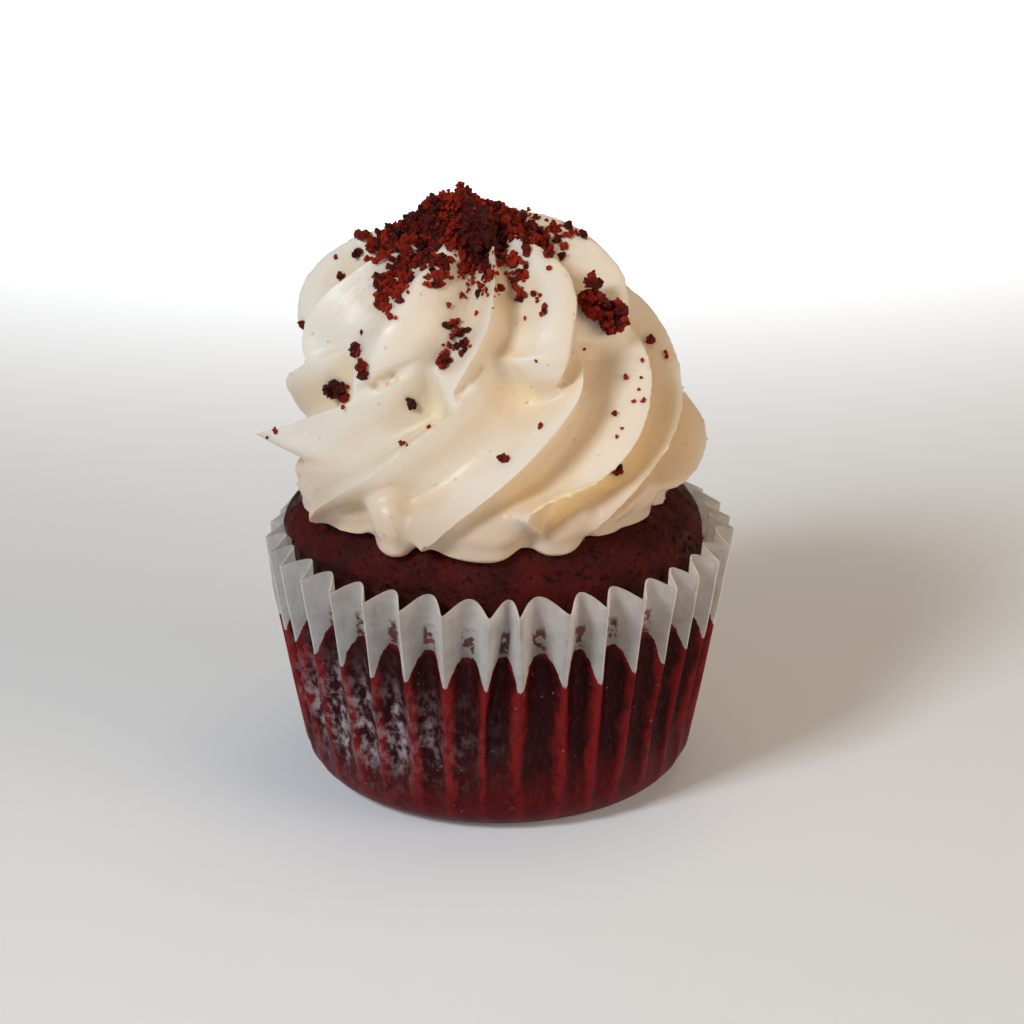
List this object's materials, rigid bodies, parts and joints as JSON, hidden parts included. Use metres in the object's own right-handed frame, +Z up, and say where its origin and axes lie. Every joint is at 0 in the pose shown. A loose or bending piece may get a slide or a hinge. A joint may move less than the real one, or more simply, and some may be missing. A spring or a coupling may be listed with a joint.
{
  "type": "cupcake",
  "caption": "Dark red sponge cupcake in a pleated paper case, topped with a tall piped swirl of ivory cream frosting and a heap of cake crumbs.",
  "frame": {"origin": "centre of the paper case's flat bottom, where the cupcake stands on a surface", "axes": "+Z up through the frosting's peak, -Y towards the side that faces the viewer, +X to the viewer's right"},
  "size_m": [0.0644, 0.0662, 0.0833],
  "materials": {
    "case_paper": "matte, translucent where the cake's fat soaks it",
    "red_sponge": "porous crumb, slightly moist",
    "cream_frosting": "smooth whipped cream, satin",
    "red_crumbs": "rough broken crumb"
  },
  "bodies": {
    "root": {"paper_case": "case_paper", "sponge": "red_sponge", "frosting": "cream_frosting", "crumb_heap": "red_crumbs", "crumb_clump": "red_crumbs"}
  },
  "joints": []
}
